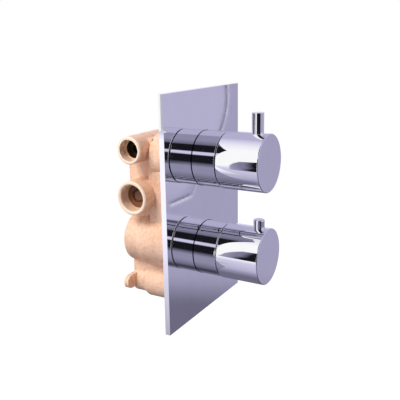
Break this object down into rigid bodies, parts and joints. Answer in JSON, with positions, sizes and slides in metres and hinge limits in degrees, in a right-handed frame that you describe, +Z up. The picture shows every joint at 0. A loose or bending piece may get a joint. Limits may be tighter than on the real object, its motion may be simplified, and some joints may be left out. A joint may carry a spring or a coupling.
{
  "type": "thermostatic shower valve",
  "caption": "Concealed thermostatic shower valve: brass body with threaded ports behind a chrome plate, a flow knob with a lever pin and a temperature knob with a safety button.",
  "frame": {"origin": "centre of the faceplate on the finished wall, midway between the two knob axes", "axes": "+X to the right seen from the room, +Y into the wall along the knob axes, +Z up"},
  "size_m": [0.141, 0.1502, 0.22],
  "materials": {
    "cast_brass": "sandblasted casting, machined at the port mouths",
    "chrome_plate": "mirror chrome on a folded sheet",
    "chrome": "mirror chrome",
    "foam": "closed-cell foam",
    "black_rubber": "matte",
    "machined_brass": "turned",
    "grey_plastic": "moulded",
    "white_plastic": "moulded",
    "dark_plastic": "moulded",
    "brown_plastic": "moulded",
    "ceramic": "lapped ceramic",
    "copper_alloy": "copper coloured",
    "steel": "bright wire and blackened screws"
  },
  "bodies": {
    "housing": {"valve_body": "cast_brass", "faceplate": "chrome_plate", "faceplate_seal": "foam", "sleeve_seals": "black_rubber", "flow_sleeve": "chrome", "temperature_sleeve": "chrome", "flow_nut": "machined_brass", "diverter_housing": "grey_plastic", "diverter_seal": "black_rubber", "fixed_disc": "ceramic", "temperature_nut": "machined_brass", "thermostat_head": "machined_brass", "thermostat_sleeve": "dark_plastic", "sealing_rings": "black_rubber", "stop_sleeve": "white_plastic", "return_spring": "steel", "hot_check_valve": "brown_plastic", "cold_check_valve": "brown_plastic", "hot_check_spring": "steel", "cold_check_spring": "steel"},
    "flow_control": {"flow_knob": "chrome", "flow_insert": "grey_plastic", "flow_extension": "machined_brass", "flow_spindle": "machined_brass", "flow_clip": "steel", "moving_disc": "ceramic", "lever_pin": "chrome", "flow_grub_screw": "steel"},
    "temperature_control": {"temperature_knob": "chrome", "temperature_insert": "grey_plastic", "temperature_extension": "machined_brass", "temperature_spindle": "machined_brass", "temperature_clip": "steel", "temperature_grub_screw": "steel", "button_spring": "steel"},
    "button": {"safety_button": "chrome"},
    "regulator": {"rising_carrier": "brown_plastic", "wax_element": "copper_alloy", "mixing_shuttle": "grey_plastic"},
    "hot_poppet": {"hot_check_poppet": "brown_plastic"},
    "cold_poppet": {"cold_check_poppet": "brown_plastic"}
  },
  "joints": [
    {"name": "flow_turn", "type": "hinge", "parent": "housing", "child": "flow_control", "pos_m": [0, 0, 0.0445], "axis": [0, -1, 0], "range_deg": [-90, 90]},
    {"name": "temperature_turn", "type": "hinge", "parent": "housing", "child": "temperature_control", "pos_m": [0, 0, -0.0445], "axis": [0, -1, 0], "range_deg": [-150, 0]},
    {"name": "button_press", "type": "slide", "parent": "temperature_control", "child": "button", "axis": [0, 0, -1], "range_m": [0, 0.002], "stiffness_N_per_m": 600, "springref_m": -0.002, "deforming": ["button_spring"]},
    {"name": "regulator_slide", "type": "slide", "parent": "housing", "child": "regulator", "axis": [0, -1, 0], "range_m": [-0.00167, 0], "deforming": ["return_spring"]},
    {"name": "hot_check_slide", "type": "slide", "parent": "housing", "child": "hot_poppet", "axis": [1, 0, 0], "range_m": [0, 0.003], "stiffness_N_per_m": 300, "springref_m": -0.003, "deforming": ["hot_check_spring"]},
    {"name": "cold_check_slide", "type": "slide", "parent": "housing", "child": "cold_poppet", "axis": [-1, 0, 0], "range_m": [0, 0.003], "stiffness_N_per_m": 300, "springref_m": -0.003, "deforming": ["cold_check_spring"]}
  ],
  "couplings": [
    {"joint": "regulator_slide", "follows": "temperature_turn", "m_per_rad": 0.00063662}
  ]
}
